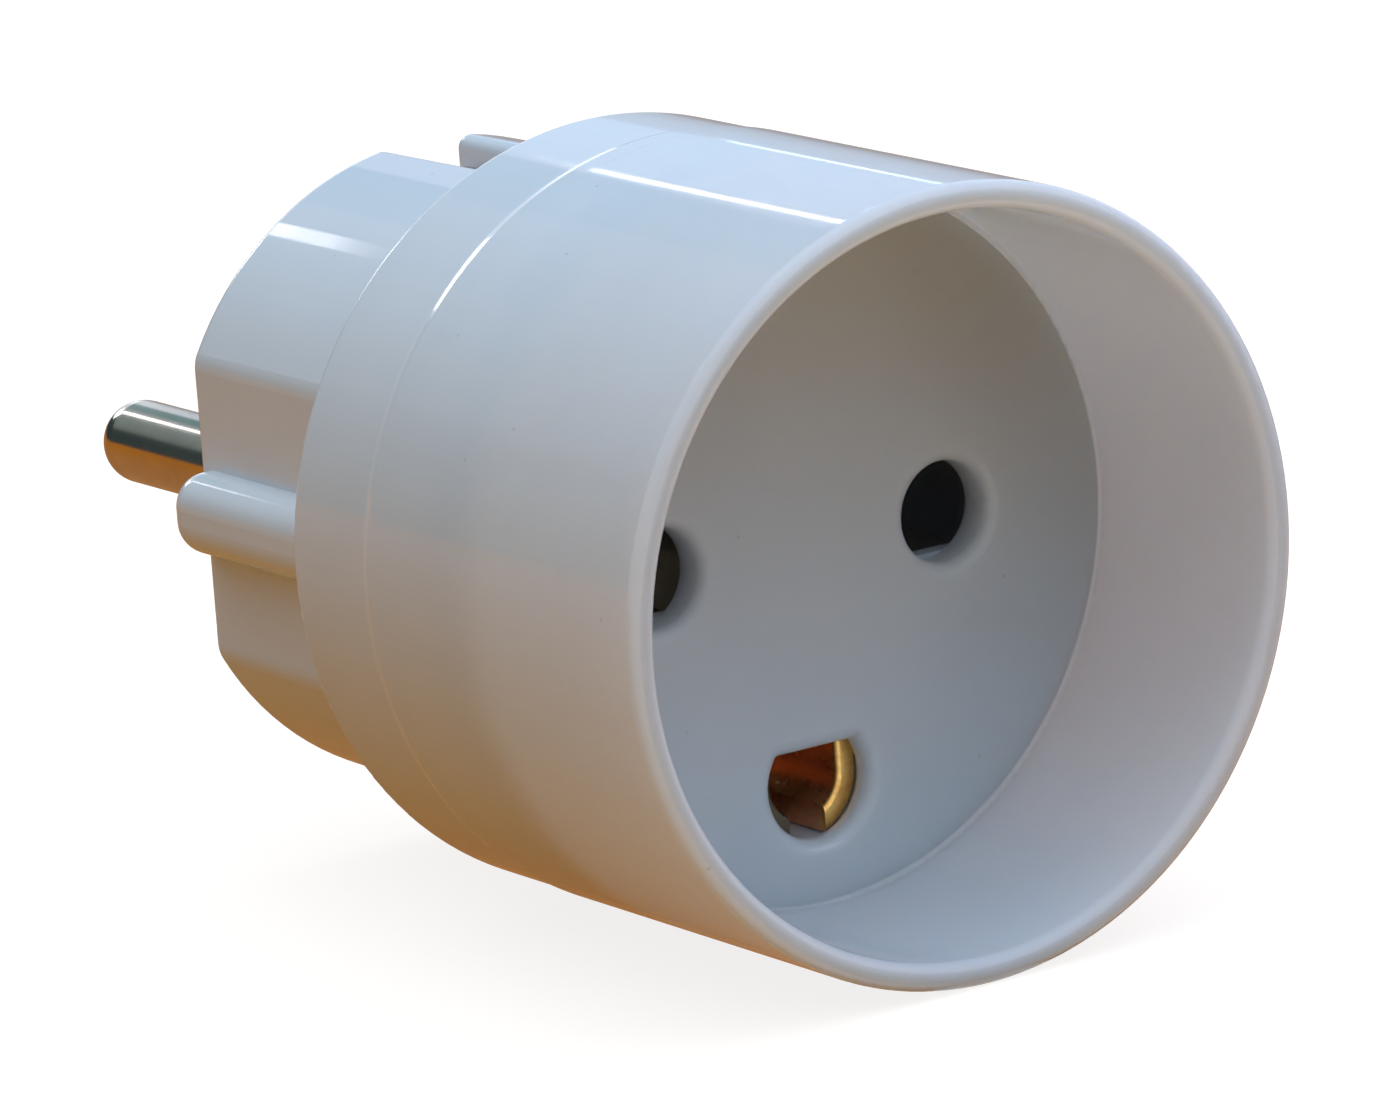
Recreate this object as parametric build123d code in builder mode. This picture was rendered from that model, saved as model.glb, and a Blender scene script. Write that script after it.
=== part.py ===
# Plug adapter: a round-pin earthed wall plug at the back, a recessed socket with an earth slot in front
# Frame: +Y runs along the plug pins into the wall, +Z is up, +X runs across the two pins
# The origin is on the axis, at the middle of the plug face that the pins stand out of
# All sizes are in millimetres
import os
from math import atan, degrees

from build123d import *

os.makedirs("parts", exist_ok=True)

# Round shell: the sleeve of the socket housing, eased down to the collar of the plug body
collar_step = 3.1
sleeve_length = 25.1
collar_length = 7.4
seam_round = 0.1
seam_ease = 1.5
seam_drop = 0.1
seam_ease_round = 4.0
collar_round = 0.5

# Socket recess
sleeve_wall = 1.5
recess_depth = 14.9
recess_draft = 0.1
rim_flat = 0.1
floor_thick = 2.2
floor_round = 0.3

# Joint between the two mouldings: a spigot on the plug body inside the skirt of the housing
skirt_wall = 1.8
spigot_setback = 3.0
spigot_wall = 1.6
spigot_gap = 0.1
spigot_chamfer = 0.4

# Plug body behind the collar
plug_length = 17.5
plug_dia = 36.8
plug_draft = 0.2
flat_depth = 2.0
flat_round = 2.2
face_round = 0.8
plug_wall = 2.0
face_wall = 3.0
flange_wall = 2.0
cavity_round = 1.5
partition_wall = 2.0

# Guide ribs on the two flats
rib_height = 4.6
rib_rise = 2.2
rib_round = 1.9
rib_end_round = 1.8

# Channels for the earth strap at the top and the bottom of the plug body
channel_width = 4.6
channel_depth = 2.8
channel_round = 0.7

# Plug pins
pin_pitch = 19.0
pin_dia = 4.8
pin_reach = 19.0
pin_tip_round = 2.3
waist_dia = 4.0
waist_gap = 0.03
boss_dia = 8.0
boss_length = 6.0
shoulder_dia = 6.6
shoulder_thick = 1.4
stem_dia = 3.2
stem_gap = 0.05
stem_head_dia = 4.0
stem_head_thick = 0.9
stem_head_round = 0.5

# Pin holes in the socket floor
hole_dia = 5.6
hole_round = 0.7
ledge_drop = 2.6
ledge_width = 4.4
ledge_thick = 1.0

# Spring contacts behind the pin holes
contact_sheet = 0.8
contact_width = 5.0
contact_root = 5.2
contact_grip = 4.4
contact_mouth = 5.6
contact_bend = 1.0
contact_setback = 1.6
contact_flare = 4.0
cradle_gap = 0.2
cradle_wall = 1.2
cradle_width = 6.0
cradle_length = 6.0

# Earth slot in the socket floor
earth_inset = 2.45
slot_dia = 6.4
slot_flat = 1.9
slot_corner = 0.25
slot_lip = 1.2
slot_round = 0.8

# Earth contact behind the slot
sleeve_bore = 4.4
sleeve_sheet = 1.3
sleeve_leg = 2.2
sleeve_split = 2.4
sleeve_edge = 0.3
sleeve_gap = 0.15
sleeve_setback = 0.45
shroud_wall = 0.8
shroud_length = 5.5

# Earth strap and the rivet that joins the earth contact to it
strap_sheet = 0.8
strap_width = 4.0
strap_bend = 1.2
strap_setback = 1.6
strap_gap = 0.05
strap_corner = 1.0
rivet_dia = 2.0
rivet_gap = 0.05
rivet_head_dia = 2.8
rivet_head_thick = 0.7
rivet_head_room = 0.4

# Stations along the axis, from the plug face towards the socket
flange_y = -plug_length
flange_inner_y = flange_y - flange_wall
seam_y = flange_y - collar_length
rim_y = seam_y - sleeve_length
floor_y = rim_y + recess_depth
floor_back_y = floor_y + floor_thick
spigot_end_y = floor_back_y + spigot_setback
face_inner_y = -face_wall
boss_end_y = face_inner_y - boss_length
shoulder_end_y = boss_end_y - shoulder_thick
contact_base_y = shoulder_end_y - contact_sheet
strap_front_y = flange_inner_y - strap_gap - strap_sheet
sleeve_base_y = strap_front_y - sleeve_sheet
sleeve_mouth_y = floor_y + slot_lip + sleeve_setback

# Radii and half widths that several pieces share
plug_r = plug_dia / 2
flat_x = plug_r - flat_depth
rib_x = flat_x + rib_rise
channel_floor = plug_r - channel_depth
shell_r = plug_r + collar_step
collar_r = shell_r - seam_drop
recess_r = shell_r - sleeve_wall
rim_round = (sleeve_wall - rim_flat) / 2
skirt_r = shell_r - skirt_wall
spigot_r = skirt_r - spigot_gap
spigot_bore_r = spigot_r - spigot_wall
hole_r = hole_dia / 2
slot_r = slot_dia / 2
earth_drop = channel_floor - earth_inset
sleeve_bore_r = sleeve_bore / 2
sleeve_r = sleeve_bore_r + sleeve_sheet
pocket_r = sleeve_r + sleeve_gap
shroud_r = pocket_r + shroud_wall
cradle_face = contact_mouth / 2 + contact_sheet + cradle_gap
cradle_foot = cradle_face + cradle_wall


def across(y):
    """Sketch plane across the axis at y: its x is X, its y is Z, and it faces the socket side."""
    return Plane.XZ.offset(-y)


def corner_at(sketch, x, y):
    """The corner of a sketch that is nearest to a point of its plane."""
    return sketch.vertices().sort_by_distance((x, y, 0))[0]


def trough(radius, leg):
    """Outline of the earth contact's section: a half circle below, straight legs above."""
    bend_z = -earth_drop
    top_z = leg - earth_drop
    with BuildLine() as outline:
        Polyline((-radius, bend_z), (-radius, top_z), (radius, top_z), (radius, bend_z))
        ThreePointArc((radius, bend_z), (0, bend_z - radius), (-radius, bend_z))
    make_face(outline.edges())


# Front moulding: the sleeve, the socket floor and the skirt that takes the spigot
with BuildPart() as socket_housing:
    with BuildSketch(Plane.XY) as housing_profile:
        with BuildLine():
            Polyline(
                (shell_r, rim_y),
                (shell_r, seam_y - seam_ease),
                (collar_r, seam_y),
                (skirt_r, seam_y),
                (skirt_r, floor_back_y),
                (0, floor_back_y),
                (0, floor_y),
                (recess_r - recess_draft, floor_y),
                (recess_r, rim_y),
                close=True,
            )
        make_face()
        fillet(corner_at(housing_profile, shell_r, rim_y), rim_round)
        fillet(corner_at(housing_profile, recess_r, rim_y), rim_round)
        fillet(corner_at(housing_profile, recess_r - recess_draft, floor_y), floor_round)
        fillet(corner_at(housing_profile, skirt_r, floor_back_y), floor_round)
        fillet(corner_at(housing_profile, shell_r, seam_y - seam_ease), seam_ease_round)
        fillet(corner_at(housing_profile, collar_r, seam_y), seam_round)
    revolve(axis=Axis.Y)

    # Cradle ribs above and below each spring contact
    with BuildSketch(across(floor_back_y)):
        for side in (-1, 1):
            with Locations((side * pin_pitch / 2, 0)):
                with GridLocations(0, 2 * cradle_face + cradle_wall, 1, 2):
                    Rectangle(cradle_width, cradle_wall)
    extrude(amount=-cradle_length)

    # Ledge under each pin hole, which keeps a mating pin from dipping below its contact
    with BuildSketch(across(floor_back_y)):
        for side in (-1, 1):
            with Locations((side * pin_pitch / 2, -ledge_drop)):
                Rectangle(ledge_width, cradle_foot - ledge_drop, align=(Align.CENTER, Align.MAX))
    extrude(amount=-ledge_thick)

    # Shroud round the earth contact
    with BuildSketch(across(floor_back_y)):
        trough(shroud_r, sleeve_leg + shroud_wall)
    extrude(amount=-shroud_length)
    with BuildSketch(across(floor_y + slot_lip)):
        trough(pocket_r, sleeve_leg)
    extrude(amount=slot_lip - floor_thick - shroud_length, mode=Mode.SUBTRACT)

    # Pin holes and earth slot, with rounded mouths
    with BuildSketch(across(floor_y)):
        with GridLocations(pin_pitch, 0, 2, 1):
            Circle(hole_r)
    extrude(amount=-floor_thick, mode=Mode.SUBTRACT)
    with BuildSketch(across(floor_y)) as slot_outline:
        with Locations((0, -earth_drop)):
            Circle(slot_r)
        with Locations((0, slot_flat - earth_drop)):
            Rectangle(2 * slot_r, slot_r, align=(Align.CENTER, Align.MIN), mode=Mode.SUBTRACT)
        fillet(slot_outline.vertices(), slot_corner)
    extrude(amount=-slot_lip, mode=Mode.SUBTRACT)
    mouth_edges = socket_housing.edges().filter_by_position(Axis.Y, floor_y, floor_y)
    mouth_edges = mouth_edges.filter_by(lambda edge: edge.length < recess_r)
    hole_edges = mouth_edges.filter_by(lambda edge: abs(edge.center().X) > slot_r)
    slot_edges = mouth_edges.filter_by(lambda edge: abs(edge.center().X) < slot_r)
    fillet(hole_edges, hole_round)
    fillet(slot_edges, slot_round)
socket_housing.part.label = "socket_housing"

# Guide rib on one flat of the plug body, along +X
with BuildPart() as guide_rib:
    with BuildSketch(across(flange_y)) as rib_outline:
        Rectangle(rib_x, rib_height, align=(Align.MIN, Align.CENTER))
        fillet(rib_outline.vertices().group_by(Axis.X)[-1], rib_round)
    extrude(amount=-plug_length)
    rib_end = guide_rib.faces().sort_by(Axis.Y)[-1]
    fillet(rib_end.edges().filter_by(lambda edge: edge.center().X > 0), rib_end_round)

# Rear moulding: collar, spigot and the plug body with its flats, ribs and strap channels
with BuildPart() as plug_body:
    with BuildSketch(Plane.XY) as collar_profile:
        with BuildLine():
            Polyline(
                (0, flange_y),
                (collar_r, flange_y),
                (collar_r, seam_y),
                (spigot_r, seam_y),
                (spigot_r, spigot_end_y),
                (spigot_bore_r, spigot_end_y),
                (spigot_bore_r, flange_inner_y),
                (0, flange_inner_y),
                close=True,
            )
        make_face()
        fillet(corner_at(collar_profile, collar_r, flange_y), collar_round)
        fillet(corner_at(collar_profile, collar_r, seam_y), seam_round)
        chamfer(corner_at(collar_profile, spigot_r, spigot_end_y), spigot_chamfer)
    revolve(axis=Axis.Y)

    # Plug barrel, drafted towards the plug face
    with BuildSketch(Plane(origin=(0, flange_y, 0), x_dir=(1, 0, 0), z_dir=(0, 1, 0))) as barrel_outline:
        Circle(plug_r)
        Rectangle(2 * flat_x, plug_dia, mode=Mode.INTERSECT)
        fillet(barrel_outline.vertices(), flat_round)
    extrude(amount=plug_length, taper=degrees(atan(plug_draft / plug_length)))
    fillet(plug_body.faces().sort_by(Axis.Y)[-1].edges(), face_round)

    # Guide ribs
    add(guide_rib.part)
    add(mirror(guide_rib.part, about=Plane.YZ, mode=Mode.PRIVATE))

    # Strap channels
    with BuildSketch(across(0)):
        for side in (-1, 1):
            with Locations((0, side * (channel_floor + channel_depth))):
                Rectangle(channel_width, 2 * channel_depth)
    extrude(amount=plug_length, mode=Mode.SUBTRACT)
    channel_walls = plug_body.faces().filter_by(Plane.YZ)
    channel_walls = channel_walls.filter_by(lambda wall: abs(wall.center().X) < channel_width)
    above_floor = channel_floor + channel_round / 2
    channel_edges = channel_walls.edges().filter_by(lambda edge: abs(edge.center().Z) > above_floor)
    fillet(channel_edges.filter_by(lambda edge: flange_y < edge.center().Y < 0), channel_round)

    # Hollow inside
    with BuildSketch(across(flange_inner_y)) as cavity_outline:
        Circle(plug_r - plug_draft - plug_wall)
        cavity_x = flat_x - plug_draft - plug_wall
        Rectangle(2 * cavity_x, 2 * (channel_floor - plug_wall), mode=Mode.INTERSECT)
        fillet(cavity_outline.vertices(), cavity_round)
    extrude(amount=flange_inner_y - face_inner_y, mode=Mode.SUBTRACT)

    # Partition between the two live sides, with room for the rivet's head
    with BuildSketch(across(flange_inner_y)):
        Rectangle(partition_wall, 2 * (channel_floor - plug_wall))
    extrude(amount=flange_inner_y - face_inner_y)
    with BuildSketch(across(flange_inner_y)):
        with Locations((0, -earth_drop)):
            Circle(rivet_head_dia / 2 + rivet_head_room)
    extrude(amount=-(rivet_head_thick + rivet_head_room), mode=Mode.SUBTRACT)

    # Pin bosses and pin holes
    with BuildSketch(across(face_inner_y)):
        with GridLocations(pin_pitch, 0, 2, 1):
            Circle(boss_dia / 2)
    extrude(amount=boss_length)
    with BuildSketch(across(0)):
        with GridLocations(pin_pitch, 0, 2, 1):
            Circle(waist_dia / 2 + waist_gap)
    extrude(amount=face_wall + boss_length, mode=Mode.SUBTRACT)

    # Way of the earth strap through the flange and over its inner edge
    strap_z = channel_floor + strap_gap + strap_sheet / 2
    strap_y = strap_front_y + strap_sheet / 2
    strap_points = [
        (-strap_setback, strap_z),
        (strap_y, strap_z),
        (strap_y, -strap_z),
        (-strap_setback, -strap_z),
    ]
    with BuildSketch(Plane.YZ):
        with BuildLine():
            FilletPolyline(*strap_points, radius=strap_bend)
        trace(line_width=strap_sheet + 2 * strap_gap)
    extrude(amount=strap_width / 2 + strap_gap, both=True, mode=Mode.SUBTRACT)
plug_body.part.label = "plug_body"

# Plug pins: turned, with a waist held in the boss, a shoulder behind it and a stem headed over the contact
pins = []
contacts = []
for name, side in (("left", -1), ("right", 1)):
    pin_x = side * pin_pitch / 2
    with BuildPart() as plug_pin:
        with BuildSketch(Plane.XY) as pin_profile:
            with BuildLine():
                Polyline(
                    (pin_x, pin_reach),
                    (pin_x + pin_dia / 2, pin_reach),
                    (pin_x + pin_dia / 2, 0),
                    (pin_x + waist_dia / 2, 0),
                    (pin_x + waist_dia / 2, boss_end_y),
                    (pin_x + shoulder_dia / 2, boss_end_y),
                    (pin_x + shoulder_dia / 2, shoulder_end_y),
                    (pin_x + stem_dia / 2, shoulder_end_y),
                    (pin_x + stem_dia / 2, contact_base_y),
                    (pin_x + stem_head_dia / 2, contact_base_y),
                    (pin_x + stem_head_dia / 2, contact_base_y - stem_head_thick),
                    (pin_x, contact_base_y - stem_head_thick),
                    close=True,
                )
            make_face()
            fillet(corner_at(pin_profile, pin_x + pin_dia / 2, pin_reach), pin_tip_round)
            head_corner = (pin_x + stem_head_dia / 2, contact_base_y - stem_head_thick)
            fillet(corner_at(pin_profile, *head_corner), stem_head_round)
        revolve(axis=Axis((pin_x, 0, 0), (0, 1, 0)))
    plug_pin.part.label = f"plug_pin_{name}"
    pins.append(plug_pin)

    # Spring contact: a folded fork with its two leaves above and below the mating pin
    half_sheet = contact_sheet / 2
    root_z = contact_root / 2 + half_sheet
    grip_z = contact_grip / 2 + half_sheet
    mouth_z = contact_mouth / 2 + half_sheet
    mouth_y = floor_back_y + contact_setback
    grip_y = mouth_y + contact_flare
    base_y = contact_base_y + half_sheet
    with BuildPart() as spring_contact:
        with BuildSketch(Plane.YZ.offset(pin_x)):
            with BuildLine():
                FilletPolyline(
                    (mouth_y, -mouth_z),
                    (grip_y, -grip_z),
                    (base_y, -root_z),
                    (base_y, root_z),
                    (grip_y, grip_z),
                    (mouth_y, mouth_z),
                    radius=contact_bend,
                )
            trace(line_width=contact_sheet)
        extrude(amount=contact_width / 2, both=True)
        with BuildSketch(across(shoulder_end_y)):
            with Locations((pin_x, 0)):
                Circle(stem_dia / 2 + stem_gap)
        extrude(amount=contact_sheet, mode=Mode.SUBTRACT)
    spring_contact.part.label = f"spring_contact_{name}"
    contacts.append(spring_contact)

# Earth strap: one folded strip with a leg in each channel and a bridge inside the flange
with BuildPart() as earth_strap:
    with BuildSketch(Plane.YZ):
        with BuildLine():
            FilletPolyline(*strap_points, radius=strap_bend)
        trace(line_width=strap_sheet)
    extrude(amount=strap_width / 2, both=True)
    leg_ends = earth_strap.faces().filter_by(Plane.XZ).group_by(Axis.Y)[-1]
    fillet(leg_ends.edges().filter_by(Axis.Z), strap_corner)
    with BuildSketch(across(flange_inner_y)):
        with Locations((0, -earth_drop)):
            Circle(rivet_dia / 2 + rivet_gap)
    extrude(amount=strap_gap + strap_sheet, mode=Mode.SUBTRACT)
earth_strap.part.label = "earth_strap"

# Earth contact: a trough split along its bottom, on a base plate that lies on the strap
with BuildPart() as earth_contact:
    with BuildSketch(across(strap_front_y)):
        trough(sleeve_r, sleeve_leg)
    extrude(amount=strap_front_y - sleeve_mouth_y)
    with BuildSketch(across(sleeve_base_y)):
        trough(sleeve_bore_r, sleeve_leg)
        with Locations((0, -earth_drop)):
            Rectangle(sleeve_split, sleeve_r, align=(Align.CENTER, Align.MAX))
    extrude(amount=sleeve_base_y - sleeve_mouth_y, mode=Mode.SUBTRACT)
    leaf_ends = earth_contact.faces().group_by(Axis.Y)[0].edges().filter_by(Axis.X, reverse=True)
    half_split = sleeve_split / 2
    fillet(leaf_ends.filter_by(lambda edge: abs(edge.center().X) > half_split + sleeve_gap), sleeve_edge)
    with BuildSketch(across(strap_front_y)):
        with Locations((0, -earth_drop)):
            Circle(rivet_dia / 2 + rivet_gap)
    extrude(amount=sleeve_sheet, mode=Mode.SUBTRACT)
earth_contact.part.label = "earth_contact"

# Rivet through the base plate of the earth contact and the bridge of the strap
with BuildPart() as earth_rivet:
    rivet_back_y = flange_inner_y - strap_gap
    with BuildSketch(across(rivet_back_y)):
        with Locations((0, -earth_drop)):
            Circle(rivet_dia / 2)
    extrude(amount=rivet_back_y - sleeve_base_y)
    for head_y, head_thick in ((sleeve_base_y, rivet_head_thick), (rivet_back_y, -rivet_head_thick)):
        with BuildSketch(across(head_y)):
            with Locations((0, -earth_drop)):
                Circle(rivet_head_dia / 2)
        extrude(amount=head_thick)
earth_rivet.part.label = "earth_rivet"

# One file for each piece
for piece in (socket_housing, plug_body, *pins, *contacts, earth_strap, earth_contact, earth_rivet):
    export_step(piece.part, f"parts/{piece.part.label}.step")
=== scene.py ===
import math

import bpy
from mathutils import Matrix, Vector


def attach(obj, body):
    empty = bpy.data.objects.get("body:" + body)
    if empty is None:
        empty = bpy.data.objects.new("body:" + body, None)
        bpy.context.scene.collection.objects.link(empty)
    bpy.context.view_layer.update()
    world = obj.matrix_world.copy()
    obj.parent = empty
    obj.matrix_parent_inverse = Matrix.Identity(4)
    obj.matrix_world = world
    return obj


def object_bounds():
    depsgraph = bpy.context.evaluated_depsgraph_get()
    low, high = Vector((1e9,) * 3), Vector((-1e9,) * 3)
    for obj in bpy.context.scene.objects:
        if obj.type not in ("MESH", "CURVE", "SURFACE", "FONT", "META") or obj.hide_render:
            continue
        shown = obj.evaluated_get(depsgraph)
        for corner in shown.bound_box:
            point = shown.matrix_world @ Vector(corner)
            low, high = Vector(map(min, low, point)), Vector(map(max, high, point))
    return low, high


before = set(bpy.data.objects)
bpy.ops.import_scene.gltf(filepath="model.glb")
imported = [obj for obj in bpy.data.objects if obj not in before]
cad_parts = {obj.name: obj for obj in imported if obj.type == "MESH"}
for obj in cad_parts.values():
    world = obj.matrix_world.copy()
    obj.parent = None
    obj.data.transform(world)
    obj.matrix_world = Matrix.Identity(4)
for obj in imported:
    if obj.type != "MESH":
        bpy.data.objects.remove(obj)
cad_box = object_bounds()
scene = bpy.context.scene
scene.view_settings.view_transform = "Standard"

# The photo's camera, worked out from the pins and the shell. Angles are in degrees, lengths in metres
PHOTO_WIDTH = 1400
PHOTO_HEIGHT = 1103
AZIMUTH = -34.1222
ELEVATION = 13.5317
ROLL = -4.1557
DISTANCE = 0.5
TARGET = Vector((-0.0042858, -0.03, -0.0009388))
FOCAL_PIXELS = 9307.56
CENTRE_X = 686.80
CENTRE_Y = 564.09
SENSOR = 36.0
CLIP_START = 0.01
CLIP_END = 20.0

FLOOR_Z = cad_box[0].z
SEAM_Y = -0.0249

# What the masks and noises in the materials run from and to
NOISE_SPAN = (0.3, 0.7)
RISE = (0.0, 1.0)
FALL = (1.0, 0.0)
NOISE_DETAIL = 3.0
NOISE_ROUGHNESS = 0.55

# Places of the colour sockets on a Mix node
MIX_FIRST = 6
MIX_SECOND = 7
MIX_RESULT = 2


# Small helpers for node trees
def add(tree, kind, **settings):
    made = tree.nodes.new(kind)
    for name, value in settings.items():
        setattr(made, name, value)
    return made


# Links a socket to another node's output, or gives it a plain value
def feed(tree, socket, value):
    if hasattr(value, "is_linked"):
        tree.links.new(value, socket)
    elif socket.type == "RGBA":
        socket.default_value = (*value, 1.0)
    else:
        socket.default_value = value


def combine(tree, operation, *values):
    made = add(tree, "ShaderNodeMath", operation=operation)
    for socket, value in zip(made.inputs, values):
        feed(tree, socket, value)
    return made.outputs["Value"]


def vector(tree, operation, *values):
    made = add(tree, "ShaderNodeVectorMath", operation=operation)
    for socket, value in zip(made.inputs, values):
        feed(tree, socket, value)
    return made.outputs


def axes(tree, direction):
    made = add(tree, "ShaderNodeSeparateXYZ")
    tree.links.new(direction, made.inputs[0])
    return made.outputs


def noise(tree, place, scale, detail=NOISE_DETAIL, roughness=NOISE_ROUGHNESS):
    made = add(tree, "ShaderNodeTexNoise")
    made.inputs["Scale"].default_value = scale
    made.inputs["Detail"].default_value = detail
    made.inputs["Roughness"].default_value = roughness
    tree.links.new(place, made.inputs["Vector"])
    return made.outputs["Fac"]


def waves(tree, place, direction, scale, distortion):
    made = add(tree, "ShaderNodeTexWave", wave_type="BANDS", bands_direction=direction)
    made.inputs["Scale"].default_value = scale
    made.inputs["Distortion"].default_value = distortion
    tree.links.new(place, made.inputs["Vector"])
    return made.outputs["Fac"]


def spread(tree, value, results, span=NOISE_SPAN):
    made = add(tree, "ShaderNodeMapRange")
    made.inputs["From Min"].default_value = span[0]
    made.inputs["From Max"].default_value = span[1]
    made.inputs["To Min"].default_value = results[0]
    made.inputs["To Max"].default_value = results[1]
    tree.links.new(value, made.inputs["Value"])
    return made.outputs["Result"]


def blend(tree, factor, first, second, mode="MIX"):
    made = add(tree, "ShaderNodeMix", data_type="RGBA", blend_type=mode)
    tree.links.new(factor, made.inputs["Factor"])
    feed(tree, made.inputs[MIX_FIRST], first)
    feed(tree, made.inputs[MIX_SECOND], second)
    return made.outputs[MIX_RESULT]


def bump(tree, height, depth, strength, below=None):
    made = add(tree, "ShaderNodeBump")
    made.inputs["Strength"].default_value = strength
    made.inputs["Distance"].default_value = depth
    tree.links.new(height, made.inputs["Height"])
    if below is not None:
        tree.links.new(below, made.inputs["Normal"])
    return made.outputs["Normal"]


def start(name):
    made = bpy.data.materials.new(name)
    made.use_nodes = True
    tree = made.node_tree
    shader = tree.nodes["Principled BSDF"]
    coordinates = add(tree, "ShaderNodeTexCoord").outputs
    return made, tree, shader, coordinates


# Gloss white moulding: a faint cloudiness in the colour, a fine skin and a few dust specks.
# The socket floor and the mouths in it are duller, and painted darker as a painted shade of the recess;
# the seam is painted paler, a painted highlight along it; and the thin walls round the recess let some
# light through
CLOUD_SCALE = 120.0
PLASTIC_COLOURS = ((0.80, 0.805, 0.81), (0.765, 0.775, 0.785))
DUST_SCALE = 260.0
DUST_SHARES = (0.3, 0.0)
DUST_SPAN = (0.012, 0.04)
DUST_COLOUR = (0.34, 0.31, 0.27)
FLOOR_FACING = (-0.99, -0.9)
MOUTH_RADII = (0.0165, 0.0168)
MOUTH_FRONT = (-0.0358, -0.0353)
MOUTH_BACK = (-0.031, -0.030)
# Painted shade: the socket floor and its mouths are multiplied by this colour
SOCKET_FLOOR_PAINTED_SHADE = (0.81, 0.84, 0.845)
SOCKET_FLOOR_MATT = 0.26
# Painted highlight: a pale band painted along the seam
SEAM_HIGHLIGHT_SHARES = (0.45, 0.0)
SEAM_HIGHLIGHT_SPAN = (0.0001, 0.0004)
SEAM_PAINTED_HIGHLIGHT = (0.97, 0.97, 0.97)
GLOSS_SCALE = 300.0
GLOSS_ROUGHNESS = (0.04, 0.07)
SKIN_DETAIL = 2.0
WAVY_SKIN = {"scale": 700.0, "depth": 0.00002, "strength": 0.05}
FINE_SKIN = {"scale": 5200.0, "depth": 0.000004, "strength": 0.1}
PLASTIC_IOR = 1.5
THIN_WALLS = (-0.036, -0.029)
SCATTER_RADIUS = (1.0, 0.85, 0.7)
SCATTER_SCALE = 0.005


# Where the plastic is matt and painted darker as painted shade: the socket floor by the way it faces, and
# the mouths by where they lie
def matt_and_painted_shade_mask(tree, coordinates, along):
    facing = axes(tree, coordinates["Normal"])["Y"]
    socket_floor = spread(tree, facing, FALL, FLOOR_FACING)
    flat = vector(tree, "MULTIPLY", coordinates["Object"], (1.0, 0.0, 1.0))["Vector"]
    radius = vector(tree, "LENGTH", flat)["Value"]
    mouths = spread(tree, radius, FALL, MOUTH_RADII)
    mouths = combine(tree, "MULTIPLY", mouths, spread(tree, along, RISE, MOUTH_FRONT))
    mouths = combine(tree, "MULTIPLY", mouths, spread(tree, along, FALL, MOUTH_BACK))
    return combine(tree, "MAXIMUM", socket_floor, mouths)


def skin_bump(tree, place, skin, below=None):
    height = noise(tree, place, skin["scale"], SKIN_DETAIL)
    return bump(tree, height, skin["depth"], skin["strength"], below)


def moulded_plastic():
    made, tree, shader, coordinates = start("moulded plastic")
    place = coordinates["Object"]
    along = axes(tree, place)["Y"]
    cloud = noise(tree, place, CLOUD_SCALE)
    colour = blend(tree, spread(tree, cloud, RISE), *PLASTIC_COLOURS)
    specks = add(tree, "ShaderNodeTexVoronoi", feature="F1")
    specks.inputs["Scale"].default_value = DUST_SCALE
    tree.links.new(place, specks.inputs["Vector"])
    dust = spread(tree, specks.outputs["Distance"], DUST_SHARES, DUST_SPAN)
    colour = blend(tree, dust, colour, DUST_COLOUR)
    dull_and_painted_shade = matt_and_painted_shade_mask(tree, coordinates, along)
    # Painted shade: the socket floor and its mouths are darkened by this tint
    colour = blend(tree, dull_and_painted_shade, colour, SOCKET_FLOOR_PAINTED_SHADE, "MULTIPLY")
    # A painted highlight: the plastic is painted paler close to the seam
    beside_seam = combine(tree, "ABSOLUTE", combine(tree, "SUBTRACT", along, SEAM_Y))
    colour = blend(tree, spread(tree, beside_seam, SEAM_HIGHLIGHT_SHARES, SEAM_HIGHLIGHT_SPAN), colour, SEAM_PAINTED_HIGHLIGHT)
    tree.links.new(colour, shader.inputs["Base Color"])
    gloss = spread(tree, noise(tree, place, GLOSS_SCALE), GLOSS_ROUGHNESS)
    matt = combine(tree, "MULTIPLY", dull_and_painted_shade, SOCKET_FLOOR_MATT)
    tree.links.new(combine(tree, "ADD", gloss, matt), shader.inputs["Roughness"])
    skin = skin_bump(tree, place, WAVY_SKIN)
    skin = skin_bump(tree, place, FINE_SKIN, skin)
    tree.links.new(skin, shader.inputs["Normal"])
    tree.links.new(spread(tree, along, FALL, THIN_WALLS), shader.inputs["Subsurface Weight"])
    shader.inputs["Subsurface Radius"].default_value = SCATTER_RADIUS
    shader.inputs["Subsurface Scale"].default_value = SCATTER_SCALE
    shader.inputs["IOR"].default_value = PLASTIC_IOR
    return made


# Nickel plate over turned brass: fine rings round the pin, a light haze
HAZE_SCALE = 350.0
NICKEL_COLOURS = ((0.70, 0.68, 0.64), (0.58, 0.57, 0.54))
NICKEL_ROUGHNESS = (0.13, 0.18)
RING_SCALE = 1600.0
RING_DISTORTION = 1.5
RING_DEPTH = 0.000004
RING_STRENGTH = 0.15


def plated_nickel():
    made, tree, shader, coordinates = start("plated nickel")
    place = coordinates["Object"]
    haze = noise(tree, place, HAZE_SCALE)
    colour = blend(tree, spread(tree, haze, RISE), *NICKEL_COLOURS)
    tree.links.new(colour, shader.inputs["Base Color"])
    tree.links.new(spread(tree, haze, NICKEL_ROUGHNESS), shader.inputs["Roughness"])
    rings = waves(tree, place, "Y", RING_SCALE, RING_DISTORTION)
    turned = bump(tree, rings, RING_DEPTH, RING_STRENGTH)
    tree.links.new(turned, shader.inputs["Normal"])
    shader.inputs["Metallic"].default_value = 1.0
    return made
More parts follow.
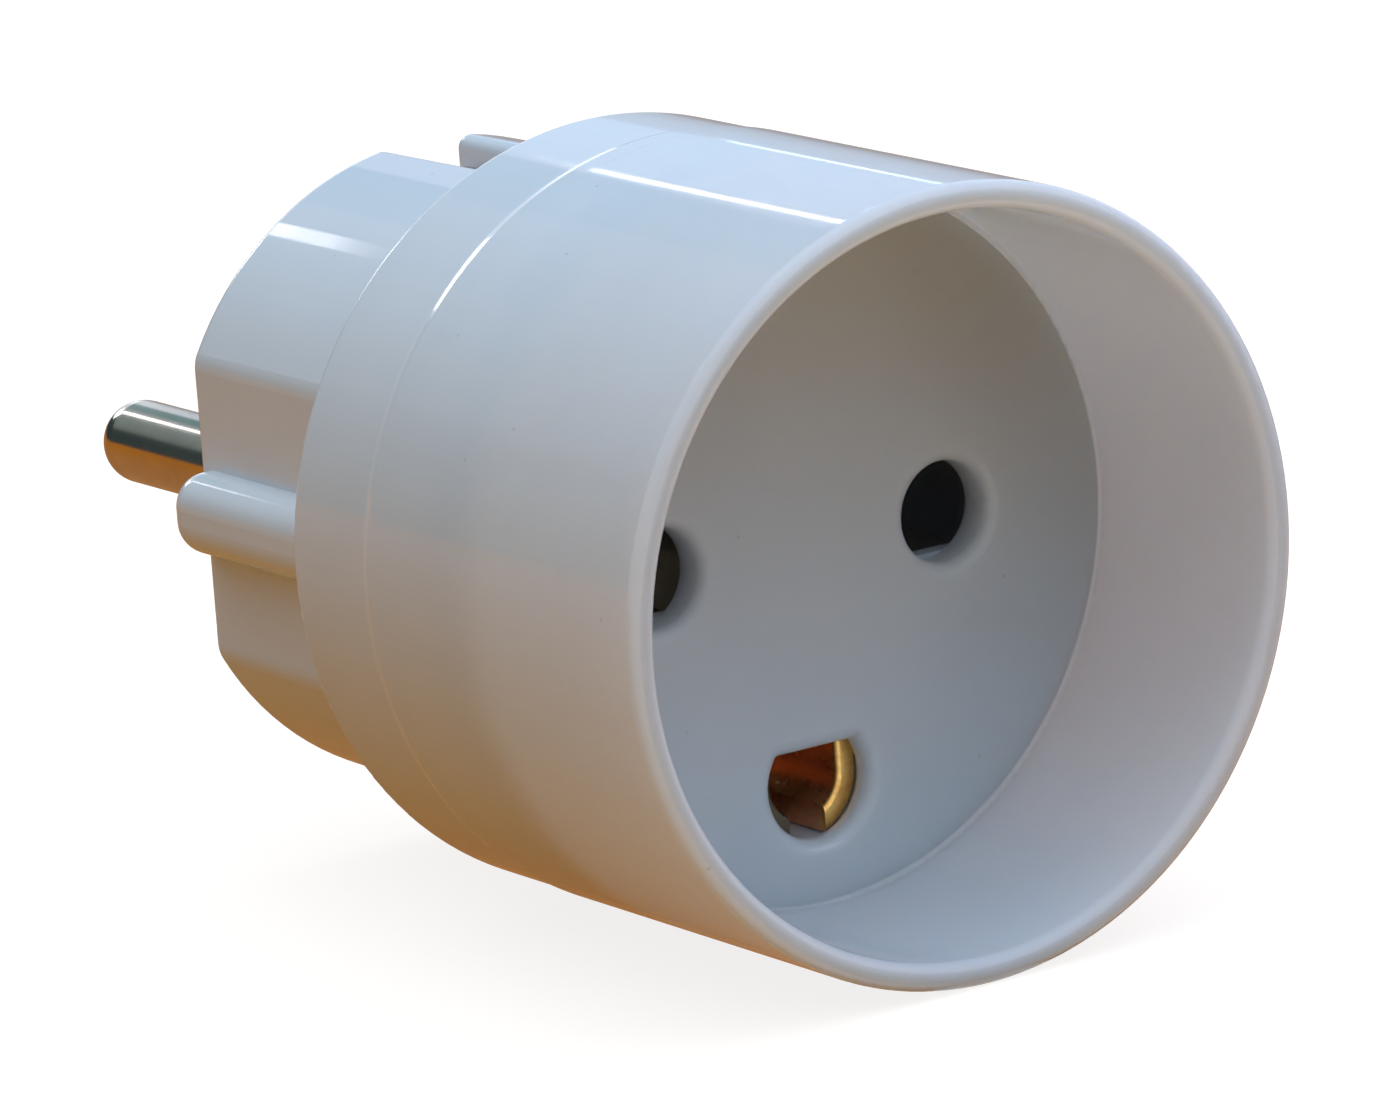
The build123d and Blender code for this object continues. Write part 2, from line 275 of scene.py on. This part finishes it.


# Bare stamped brass: stains and drawn lines along the sheet. Deep behind the slot it is redder.
# The spring contacts at the sides are painted dark instead of brass: the left one near black as painted
# shade, the right one blue-grey as a painted reflection of a dim blue. The left leaf of the earth contact
# is painted dark too, a painted shade
STAIN_SCALE = 1500.0
STAIN_DETAIL = 5.0
STAIN_ROUGHNESS = 0.6
STAIN_SPAN = (0.4, 0.75)
STAIN_DEPTH = 0.00003
STAIN_STRENGTH = 0.2
BRASS_COLOURS = ((0.97, 0.61, 0.20), (0.66, 0.36, 0.11))
BRASS_ROUGHNESS = (0.24, 0.45)
DEEP_SHARES = (0.0, 0.85)
DEEP_SPAN = (-0.0332, -0.0328)
DEEP_COLOUR = (0.97, 0.54, 0.32)
# Painted shade on the spring contacts at the sides: near black on the left, blue-grey on the right as a
# painted reflection
SIDE_SHARES = (0.0, 0.85)
SIDE_SPAN = (0.004, 0.005)
MIDDLE_SPAN = (-0.001, 0.001)
CONTACT_SHADE_AND_REFLECTION_COLOURS = ((0.05, 0.05, 0.07), (0.55, 0.62, 0.74))
# Painted shade: the left leaf of the earth contact is painted nearly black
LEFT_LEAF_SHADE_SHARES = (0.95, 0.0)
LEFT_LEAF_SHADE_SPAN = (-0.0012, -0.0002)
LEFT_LEAF_PAINTED_SHADE = (0.06, 0.06, 0.055)
LINE_SCALE = 1100.0
LINE_DISTORTION = 3.0
LINE_DEPTH = 0.000008
LINE_STRENGTH = 0.2


def stamped_brass():
    made, tree, shader, coordinates = start("stamped brass")
    place = coordinates["Object"]
    spot = axes(tree, place)
    stain = noise(tree, place, STAIN_SCALE, STAIN_DETAIL, STAIN_ROUGHNESS)
    colour = blend(tree, spread(tree, stain, RISE, STAIN_SPAN), *BRASS_COLOURS)
    colour = blend(tree, spread(tree, spot["Y"], DEEP_SHARES, DEEP_SPAN), colour, DEEP_COLOUR)
    # Painted shade and painted reflection: the spring contacts get a near-black colour on the left and a
    # blue-grey one on the right
    dull_and_painted_shade = blend(tree, spread(tree, spot["X"], RISE, MIDDLE_SPAN), *CONTACT_SHADE_AND_REFLECTION_COLOURS)
    aside = combine(tree, "ABSOLUTE", spot["X"])
    colour = blend(tree, spread(tree, aside, SIDE_SHARES, SIDE_SPAN), colour, dull_and_painted_shade)
    # Painted shade on the front of the earth contact's left leaf
    left_leaf_painted_shade = spread(tree, spot["X"], LEFT_LEAF_SHADE_SHARES, LEFT_LEAF_SHADE_SPAN)
    left_leaf_painted_shade = combine(tree, "MULTIPLY", left_leaf_painted_shade, spread(tree, spot["Y"], FALL, DEEP_SPAN))
    colour = blend(tree, left_leaf_painted_shade, colour, LEFT_LEAF_PAINTED_SHADE)
    tree.links.new(colour, shader.inputs["Base Color"])
    tree.links.new(spread(tree, stain, BRASS_ROUGHNESS), shader.inputs["Roughness"])
    lines = waves(tree, place, "X", LINE_SCALE, LINE_DISTORTION)
    drawn = bump(tree, lines, LINE_DEPTH, LINE_STRENGTH)
    drawn = bump(tree, stain, STAIN_DEPTH, STAIN_STRENGTH, drawn)
    tree.links.new(drawn, shader.inputs["Normal"])
    shader.inputs["Metallic"].default_value = 1.0
    return made


plastic = moulded_plastic()
nickel = plated_nickel()
brass = stamped_brass()
finishes = {
    "socket_housing": plastic,
    "plug_body": plastic,
    "plug_pin_left": nickel,
    "plug_pin_right": nickel,
    "earth_strap": nickel,
    "spring_contact_left": brass,
    "spring_contact_right": brass,
    "earth_contact": brass,
    "earth_rivet": brass,
}
for name, finish in finishes.items():
    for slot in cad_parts[name].material_slots:
        slot.material = finish


# The eased lip of the sleeve, which runs out on the collar over the welded seam
SLEEVE_RADIUS = 0.0215
COLLAR_RADIUS = 0.0214
LIP_START = 0.0018
LIP_ROUND = 0.0004
LIP_RUN = 0.0002
LIP_BEND = 0.17
LIP_BACK_RADIUS = 0.0198
LIP_STEPS = 24
LIP_SEGMENTS = 360
LIP_SHARP_ANGLE = 40.0


# A fall from 0 to 1 with a straight middle and a rounded bend at each end
def run_out(share):
    if share > 0.5:
        return 1.0 - run_out(1.0 - share)
    if share < LIP_BEND:
        return share * share / (2 * LIP_BEND * (1.0 - LIP_BEND))
    return (share - LIP_BEND / 2) / (1.0 - LIP_BEND)


# Each point is a place along the pins and a radius
def lip_profile():
    drop = SLEEVE_RADIUS - COLLAR_RADIUS
    points = [(SEAM_Y - LIP_START, LIP_BACK_RADIUS), (SEAM_Y - LIP_START, SLEEVE_RADIUS)]
    for step in range(LIP_STEPS + 1):
        share = step / LIP_STEPS
        along = SEAM_Y - LIP_ROUND + (LIP_ROUND + LIP_RUN) * share
        points.append((along, SLEEVE_RADIUS - drop * run_out(share)))
    points.append((SEAM_Y + LIP_RUN, LIP_BACK_RADIUS))
    return points


def revolve_ring(name, points, segments):
    mesh = bpy.data.meshes.new(name)
    count = len(points)
    verts = []
    faces = []
    for turn in range(segments):
        angle = 2.0 * math.pi * turn / segments
        verts += [(radius * math.cos(angle), along, radius * math.sin(angle)) for along, radius in points]
        here = turn * count
        there = (turn + 1) % segments * count
        for step in range(count):
            after = (step + 1) % count
            faces.append((here + step, here + after, there + after, there + step))
    mesh.from_pydata(verts, [], faces)
    mesh.validate()
    made = bpy.data.objects.new(name, mesh)
    scene.collection.objects.link(made)
    return made


lip = revolve_ring("seam_lip", lip_profile(), LIP_SEGMENTS)
lip.data.shade_smooth()
lip.data.set_sharp_from_angle(angle=math.radians(LIP_SHARP_ANGLE))
lip.data.materials.append(plastic)
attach(lip, "root")


# Stage pieces: flat cards, each with its own material
def card(name, corners, material):
    mesh = bpy.data.meshes.new(name)
    mesh.from_pydata(corners, [], [tuple(range(len(corners)))])
    made = bpy.data.objects.new(name, mesh)
    scene.collection.objects.link(made)
    mesh.materials.append(material)
    return made


def lying(left, right, near, far, z):
    return [(left, near, z), (right, near, z), (right, far, z), (left, far, z)]


def upright(left, right, y, bottom, top):
    return [(left, y, bottom), (right, y, bottom), (right, y, top), (left, y, top)]


def mirrored_card(name, corners, material):
    made = card(name, corners, material)
    made.visible_camera = False
    made.visible_diffuse = False
    made.visible_shadow = False
    made.visible_transmission = False


# Empties a node tree and gives it one output node
def cleared(tree, kind):
    tree.nodes.clear()
    return add(tree, kind).inputs["Surface"]


# The share of rays that see the white background: from the camera, mirrored or passed through
def background_rays(tree):
    path = add(tree, "ShaderNodeLightPath").outputs
    seen = combine(tree, "MAXIMUM", path["Is Camera Ray"], path["Is Glossy Ray"])
    return combine(tree, "MAXIMUM", seen, path["Is Transmission Ray"])


# Shows one shader to background rays and another to the rest
def two_faced(tree, lighting, shown, surface):
    pick = add(tree, "ShaderNodeMixShader")
    for socket, value in zip(pick.inputs, (background_rays(tree), lighting, shown)):
        tree.links.new(value, socket)
    tree.links.new(pick.outputs[0], surface)


# The floor is white paper to the eye, and gives back the light of a wooden table
FLOOR_SIZE = 3.0
FLOOR_GLOW = 0.84
FLOOR_PAPER = (0.33, 0.27, 0.21)
TABLE_WOOD = (0.59, 0.285, 0.065)


def matt_shader(tree, colour):
    made = add(tree, "ShaderNodeBsdfDiffuse")
    feed(tree, made.inputs["Color"], colour)
    return made.outputs[0]


def floor_material():
    made = bpy.data.materials.new("white floor")
    made.use_nodes = True
    tree = made.node_tree
    surface = cleared(tree, "ShaderNodeOutputMaterial")
    glow = add(tree, "ShaderNodeEmission")
    glow.inputs["Strength"].default_value = FLOOR_GLOW
    white = add(tree, "ShaderNodeAddShader")
    tree.links.new(glow.outputs[0], white.inputs[0])
    tree.links.new(matt_shader(tree, FLOOR_PAPER), white.inputs[1])
    two_faced(tree, matt_shader(tree, TABLE_WOOD), white.outputs[0], surface)
    return made


# A card's glow, running from one colour to the next along one of its own directions
def graded_material(name, axis, stops):
    made = bpy.data.materials.new(name)
    made.use_nodes = True
    tree = made.node_tree
    surface = cleared(tree, "ShaderNodeOutputMaterial")
    ramp = add(tree, "ShaderNodeValToRGB")
    elements = ramp.color_ramp.elements
    while len(elements) < len(stops):
        elements.new(0.5)
    for element, (place, colour) in zip(elements, stops):
        element.position = place
        element.color = (*colour, 1.0)
    generated = add(tree, "ShaderNodeTexCoord").outputs["Generated"]
    tree.links.new(axes(tree, generated)[axis], ramp.inputs["Fac"])
    glow = add(tree, "ShaderNodeEmission")
    tree.links.new(ramp.outputs["Color"], glow.inputs["Color"])
    tree.links.new(glow.outputs[0], surface)
    return made


card("floor", lying(-FLOOR_SIZE, FLOOR_SIZE, -FLOOR_SIZE, FLOOR_SIZE, FLOOR_Z), floor_material())

# What the pins and the gloss skin mirror behind the adapter: a wooden table and a dim room.
# Each colour stands with its place on the card, from 0 to 1
TABLE_Z = FLOOR_Z + 0.0005
TABLE_SIZE = 0.9
TABLE_NEAR = -0.05
TABLE_TINTS = [(0.45, (0.47, 0.17, 0.02)), (0.62, (0.30, 0.24, 0.19))]
ROOM_HEIGHT = 1.1
CURTAIN_LEFT = 0.14
CURTAIN_RIGHT = 0.37
WALL_TINTS = [
    (0.20, (0.03, 0.05, 0.05)),
    (0.32, (0.04, 0.06, 0.06)),
    (0.36, (0.20, 0.24, 0.22)),
    (0.52, (0.26, 0.30, 0.30)),
]
CURTAIN_TINTS = [(0.1, (0.01, 0.08, 0.09)), (0.6, (0.005, 0.16, 0.17))]
WINDOW_WALL_TINTS = [(0.0, (0.40, 0.38, 0.36)), (0.3, (0.46, 0.52, 0.60))]
ROOM_PARTS = {
    "mirrored wall": (-TABLE_SIZE, CURTAIN_LEFT, WALL_TINTS),
    "mirrored curtain": (CURTAIN_LEFT, CURTAIN_RIGHT, CURTAIN_TINTS),
    "mirrored window wall": (CURTAIN_RIGHT, TABLE_SIZE, WINDOW_WALL_TINTS),
}
mirrored_card(
    "mirrored table",
    lying(-TABLE_SIZE, TABLE_SIZE, TABLE_NEAR, TABLE_SIZE, TABLE_Z),
    graded_material("mirrored wood", "X", TABLE_TINTS),
)
for name, (left, right, tints) in ROOM_PARTS.items():
    mirrored_card(
        name,
        upright(left, right, TABLE_SIZE, TABLE_Z, TABLE_Z + ROOM_HEIGHT),
        graded_material(name, "Z", tints),
    )


# A direction, from its angle round the pins' axis and its share along that axis
def towards(angle, along):
    across = math.sqrt(1.0 - along * along)
    turned = math.radians(angle)
    return Vector((across * math.cos(turned), along, across * math.sin(turned)))


# Lamps: strips that stand for the window's edges and the lamps behind. Each has the angle it
# stands at, the shares along the axis of its near and far end, its width, colour and radiance
MIDDLE = Vector((0.0, -0.03, 0.0))
LAMP_DISTANCE = 0.8
LAMPS = {
    "window edge": (55.0, 0.811, 0.66, 0.016, (1.0, 0.94, 0.97), 5.0),
    "window far edge": (20.0, 0.804, 0.66, 0.012, (0.75, 0.95, 1.0), 2.2),
    "window": (37.0, 0.83, 0.55, 0.27, (0.45, 0.75, 1.0), 0.3),
    "lamp behind": (91.3, 0.957, 0.8405, 0.045, (1.0, 0.95, 0.96), 5.0),
    "seam lamp": (72.5, 0.975, 0.925, 0.145, (1.0, 0.95, 0.97), 4.5),
}


def strip(name, angle, near, far, width, colour, radiance):
    first = MIDDLE + towards(angle, near) * LAMP_DISTANCE
    last = MIDDLE + towards(angle, far) * LAMP_DISTANCE
    centre = (first + last) / 2
    data = bpy.data.lights.new(name, "AREA")
    data.shape = "RECTANGLE"
    data.size = (last - first).length
    data.size_y = width
    data.color = colour
    data.energy = math.pi * data.size * data.size_y * radiance
    made = bpy.data.objects.new(name, data)
    scene.collection.objects.link(made)
    long_way = (last - first).normalized()
    side = (centre - MIDDLE).cross(long_way).normalized()
    turn = Matrix((long_way, side, long_way.cross(side))).transposed()
    made.matrix_world = Matrix.Translation(centre) @ turn.to_4x4()
    made.visible_camera = False


for name, values in LAMPS.items():
    strip(name, *values)

# A pale patch of sky that only the tilted edges mirror: the seam and the back of the collar
SKY_DISTANCE = 0.84
SKY_FIRST_ANGLE = 8
SKY_LAST_ANGLE = 96
SKY_ANGLE_STEP = 4
SKY_NEAR = 0.86
SKY_FAR = 0.975
SKY_TINTS = [
    (0.0, (0.45, 0.50, 0.55)),
    (0.45, (0.80, 0.86, 0.92)),
    (0.62, (0.80, 0.86, 0.92)),
    (0.8, (1.70, 1.75, 1.85)),
]
sky_angles = list(range(SKY_FIRST_ANGLE, SKY_LAST_ANGLE + 1, SKY_ANGLE_STEP))
sky_edge = [towards(angle, SKY_NEAR) for angle in sky_angles]
sky_edge += [towards(angle, SKY_FAR) for angle in reversed(sky_angles)]
mirrored_card(
    "mirrored sky",
    [MIDDLE + aim * (SKY_DISTANCE / aim.y) for aim in sky_edge],
    graded_material("mirrored sky", "X", SKY_TINTS),
)


# A direction away from the part, from its azimuth and elevation in degrees
def outwards(azimuth, elevation):
    a = math.radians(azimuth)
    e = math.radians(elevation)
    return Vector((math.sin(a) * math.cos(e), -math.cos(a) * math.cos(e), math.sin(e)))


# The world: white where it is seen or mirrored. For soft light it is a sum of broad lobes,
# each with its azimuth and elevation in degrees and its colour
WHITE = (1.0, 1.0, 1.0)
LOBE_POWER = 3.0
SOFT_LIGHT = [
    (0.0, 90.0, (1.51, 1.86, 2.05)),
    (-50.0, 52.0, (0.08, 0.11, 0.24)),
    (30.0, 42.0, (0.38, 0.52, 0.66)),
    (90.0, 42.0, (0.0, 0.0, 0.42)),
]


def soft_sky(tree, direction):
    total = None
    for azimuth, elevation, colour in SOFT_LIGHT:
        aim = vector(tree, "DOT_PRODUCT", direction, outwards(azimuth, elevation))["Value"]
        lobe = combine(tree, "POWER", combine(tree, "MAXIMUM", aim, 0.0), LOBE_POWER)
        tint = add(tree, "ShaderNodeVectorMath", operation="SCALE")
        tint.inputs[0].default_value = colour
        tree.links.new(lobe, tint.inputs["Scale"])
        light = tint.outputs["Vector"]
        total = light if total is None else vector(tree, "ADD", total, light)["Vector"]
    return total


def make_world():
    made = bpy.data.worlds.new("studio")
    scene.world = made
    made.use_nodes = True
    tree = made.node_tree
    surface = cleared(tree, "ShaderNodeOutputWorld")
    white = add(tree, "ShaderNodeBackground")
    feed(tree, white.inputs["Color"], WHITE)
    direction = add(tree, "ShaderNodeTexCoord").outputs["Generated"]
    soft = add(tree, "ShaderNodeBackground")
    tree.links.new(soft_sky(tree, direction), soft.inputs["Color"])
    two_faced(tree, soft.outputs[0], white.outputs[0], surface)


make_world()


# The camera of the photo
def make_camera():
    a = math.radians(AZIMUTH)
    r = math.radians(ROLL)
    back = outwards(AZIMUTH, ELEVATION)
    right = Vector((math.cos(a), math.sin(a), 0.0))
    up = back.cross(right)
    turned_right = math.cos(r) * right + math.sin(r) * up
    turned_up = -math.sin(r) * right + math.cos(r) * up
    data = bpy.data.cameras.new("camera")
    data.sensor_width = SENSOR
    data.lens = FOCAL_PIXELS / PHOTO_WIDTH * SENSOR
    data.shift_x = (PHOTO_WIDTH / 2 - CENTRE_X) / PHOTO_WIDTH
    data.shift_y = (CENTRE_Y - PHOTO_HEIGHT / 2) / PHOTO_WIDTH
    data.clip_start = CLIP_START
    data.clip_end = CLIP_END
    made = bpy.data.objects.new("camera", data)
    scene.collection.objects.link(made)
    turn = Matrix((turned_right, turned_up, back)).transposed()
    made.matrix_world = Matrix.Translation(TARGET + back * DISTANCE) @ turn.to_4x4()
    scene.camera = made


make_camera()
